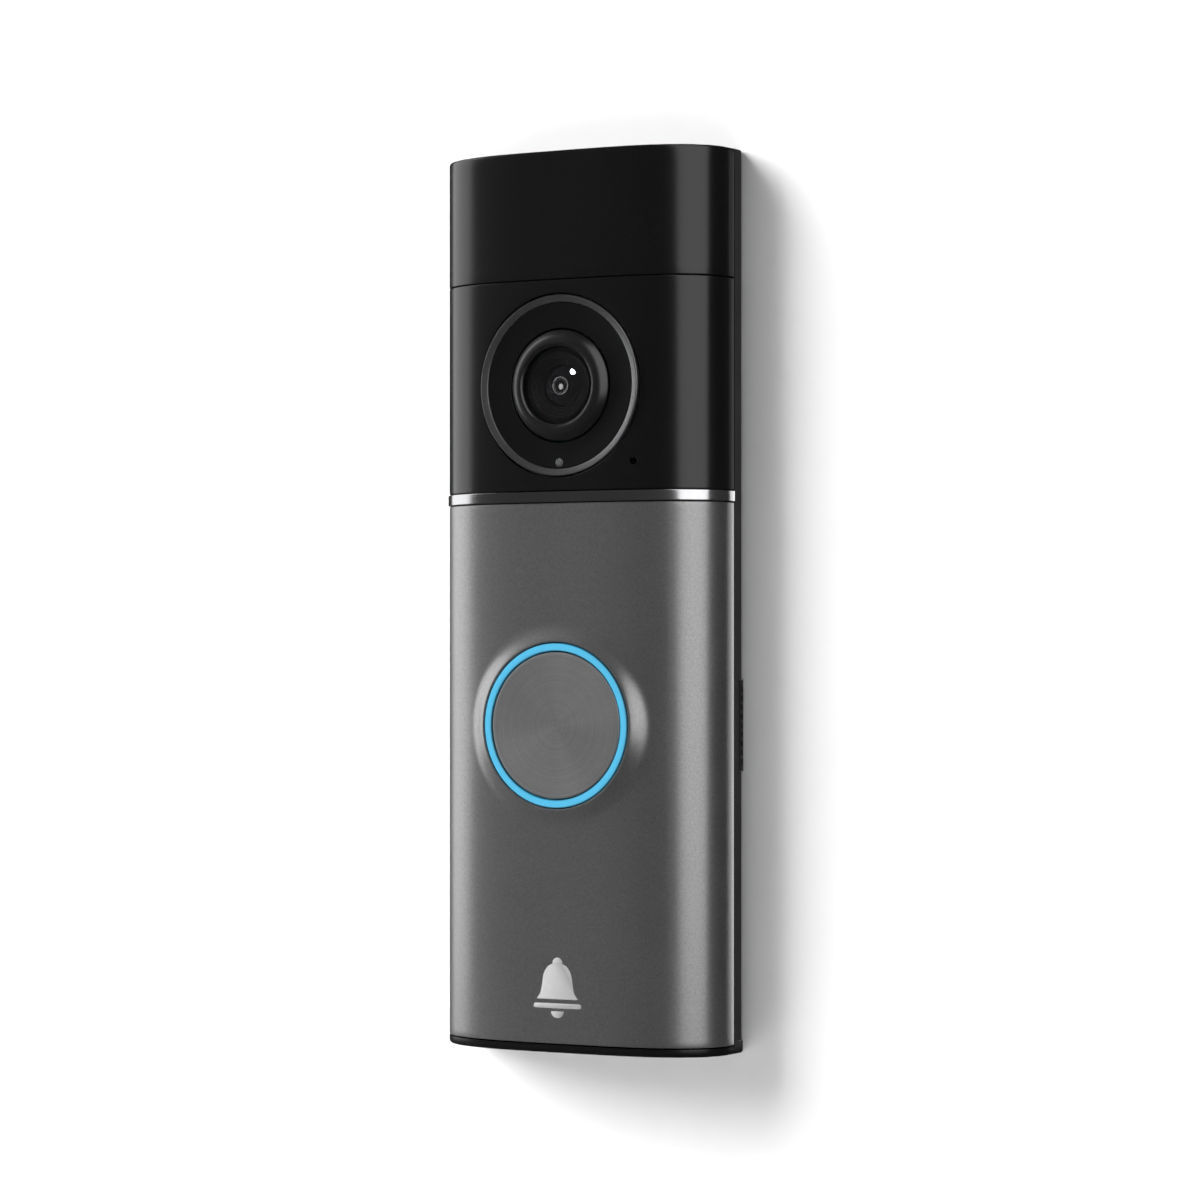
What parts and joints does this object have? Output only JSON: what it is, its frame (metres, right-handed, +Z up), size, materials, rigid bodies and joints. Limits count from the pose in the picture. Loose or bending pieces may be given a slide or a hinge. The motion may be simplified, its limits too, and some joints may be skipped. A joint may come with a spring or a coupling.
{
  "type": "video doorbell",
  "caption": "Slim wall-mounted video doorbell with a domed camera lens, a lit push button, a chrome trim band and snap-off covers over its fixings.",
  "frame": {"origin": "centre of the flat rear face that rests on the wall, at half the height", "axes": "+Z up, -Y out of the wall towards the visitor, +X to the right when looking at the front"},
  "size_m": [0.0464, 0.0153, 0.13],
  "materials": {
    "black_cover": "satin black moulded plastic",
    "black_housing": "fine matt moulding texture",
    "chassis_plastic": "fine matt moulding texture",
    "faceplate_grey": "satin metallic grey with a fine grain",
    "chrome_trim": "polished",
    "emblem_metal": "polished",
    "spun_metal": "circular brushed, dark anodised",
    "light_diffuser": "translucent diffuser lit cyan blue",
    "lens_ring_plastic": "satin black",
    "infrared_window": "dark infrared-pass plastic",
    "optical_glass": "coated glass",
    "sensor_window": "clear window",
    "silicone_black": "silicone",
    "foam_grey": "closed-cell foam",
    "circuit_board": "solder mask",
    "shield_metal": "tinned steel",
    "heat_spreader_metal": "mill finish",
    "thermal_pad_grey": "thermal gel pad",
    "chip_black": "moulded package",
    "ceramic_sensor": "coated silicon",
    "led_package": "moulded white package",
    "screw_steel": "zinc plated",
    "black_screw": "black oxide",
    "brass_terminal": "plated brass",
    "connector_ivory": "moulded nylon",
    "antenna_copper": "copper foil",
    "flex_amber": "polyimide film",
    "capacitor_tan": "moulded tantalum case",
    "speaker_paper": "coated paper cone"
  },
  "bodies": {
    "housing": {"rear_housing": "black_housing", "side_speaker_grilles": "black_housing", "perimeter_seal": "silicone_black", "mid_frame": "chassis_plastic", "camera_cover": "black_cover", "trim_band": "chrome_trim", "bottom_cap": "black_cover", "security_screw": "black_screw", "housing_screws": "screw_steel", "lens_bezel_ring": "lens_ring_plastic", "lens_dish": "infrared_window", "lens_collar": "lens_ring_plastic", "lens_dome": "optical_glass", "light_sensor_window": "sensor_window", "camera_seal_ring": "silicone_black", "ir_led_board": "circuit_board", "ir_leds": "led_package", "ambient_light_sensor": "ceramic_sensor", "camera_lens_barrel": "chip_black", "lens_elements": "optical_glass", "lens_holder": "chip_black", "image_sensor": "ceramic_sensor", "camera_board": "circuit_board", "camera_screws": "screw_steel", "camera_flex_cable": "flex_amber", "mic_gasket": "silicone_black", "microphone": "shield_metal", "mic_board": "circuit_board", "led_light_ring": "light_diffuser", "tact_switch_body": "chip_black", "button_pcb": "circuit_board", "ring_leds": "led_package", "main_pcb": "circuit_board", "pcb_screws": "screw_steel", "soc_shield_can": "shield_metal", "soc_chip": "chip_black", "thermal_pad": "thermal_pad_grey", "heat_spreader": "heat_spreader_metal", "wifi_shield_can": "shield_metal", "board_connectors": "connector_ivory", "button_board_connector": "connector_ivory", "wifi_antenna": "antenna_copper", "antenna_carrier": "chassis_plastic", "power_inductor": "chip_black", "bulk_capacitors": "capacitor_tan", "speaker_driver": "shield_metal", "speaker_cone": "speaker_paper", "speaker_bracket": "chassis_plastic", "speaker_gasket": "foam_grey", "terminal_posts": "brass_terminal", "terminal_screws": "brass_terminal", "wire_clamp_washers": "brass_terminal"},
    "button": {"button_cap": "spun_metal", "button_carrier": "chassis_plastic", "button_seal_ring": "silicone_black"},
    "switch_plunger": {"tact_switch_plunger": "connector_ivory"},
    "faceplate": {"faceplate": "faceplate_grey", "emblem_inlay": "emblem_metal"},
    "top_cover": {"top_cover": "black_cover"}
  },
  "joints": [
    {"name": "button_press", "type": "slide", "parent": "housing", "child": "button", "axis": [0, 1, 0], "range_m": [0, 0.0005], "stiffness_N_per_m": 3000, "springref_m": -0.0002},
    {"name": "switch_travel", "type": "slide", "parent": "housing", "child": "switch_plunger", "axis": [0, 1, 0], "range_m": [0, 0.0005]},
    {"name": "faceplate_pull", "type": "slide", "parent": "housing", "child": "faceplate", "axis": [0, -1, 0], "range_m": [0, 0.014]},
    {"name": "top_cover_pull", "type": "slide", "parent": "housing", "child": "top_cover", "axis": [0, -1, 0], "range_m": [0, 0.014]}
  ],
  "couplings": [
    {"joint": "switch_travel", "follows": "button_press", "ratio": 1}
  ]
}
